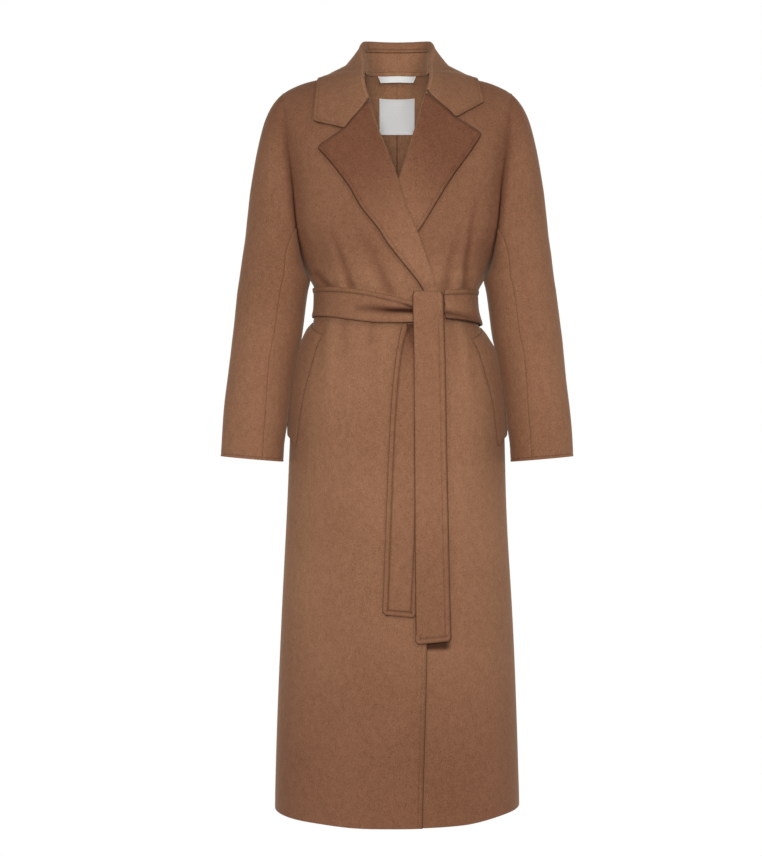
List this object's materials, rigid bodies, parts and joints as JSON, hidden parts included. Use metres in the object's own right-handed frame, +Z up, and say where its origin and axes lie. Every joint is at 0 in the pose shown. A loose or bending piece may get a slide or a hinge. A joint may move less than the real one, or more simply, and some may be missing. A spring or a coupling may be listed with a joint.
{
  "type": "wool wrap coat",
  "caption": "Long wool wrap coat in its worn shape: notched lapels, kimono sleeves, slanted pocket welts and a tied belt with two hanging tails.",
  "frame": {"origin": "middle of the neck at the height of the neck ends of the shoulder seams, where the wearer's shoulders hold the coat up", "axes": "+X to the wearer's left, +Y to the wearer's back, +Z up; the front with the lapels faces -Y"},
  "size_m": [0.5732, 0.3178, 1.2775],
  "materials": {
    "camel_wool": "brushed matt wool",
    "cream_satin": "soft satin"
  },
  "bodies": {
    "root": {"front_right": "camel_wool", "front_left": "camel_wool", "back_right": "camel_wool", "back_left": "camel_wool", "under_sleeve_right": "camel_wool", "under_sleeve_left": "camel_wool", "collar_fall": "camel_wool", "collar_stand": "camel_wool", "neck_band": "camel_wool", "pocket_welt_right": "camel_wool", "pocket_welt_left": "camel_wool", "belt_waist": "camel_wool", "belt_tail_front": "camel_wool", "belt_tail_back": "camel_wool", "hanger_loop": "cream_satin", "maker_label": "cream_satin"}
  },
  "joints": []
}
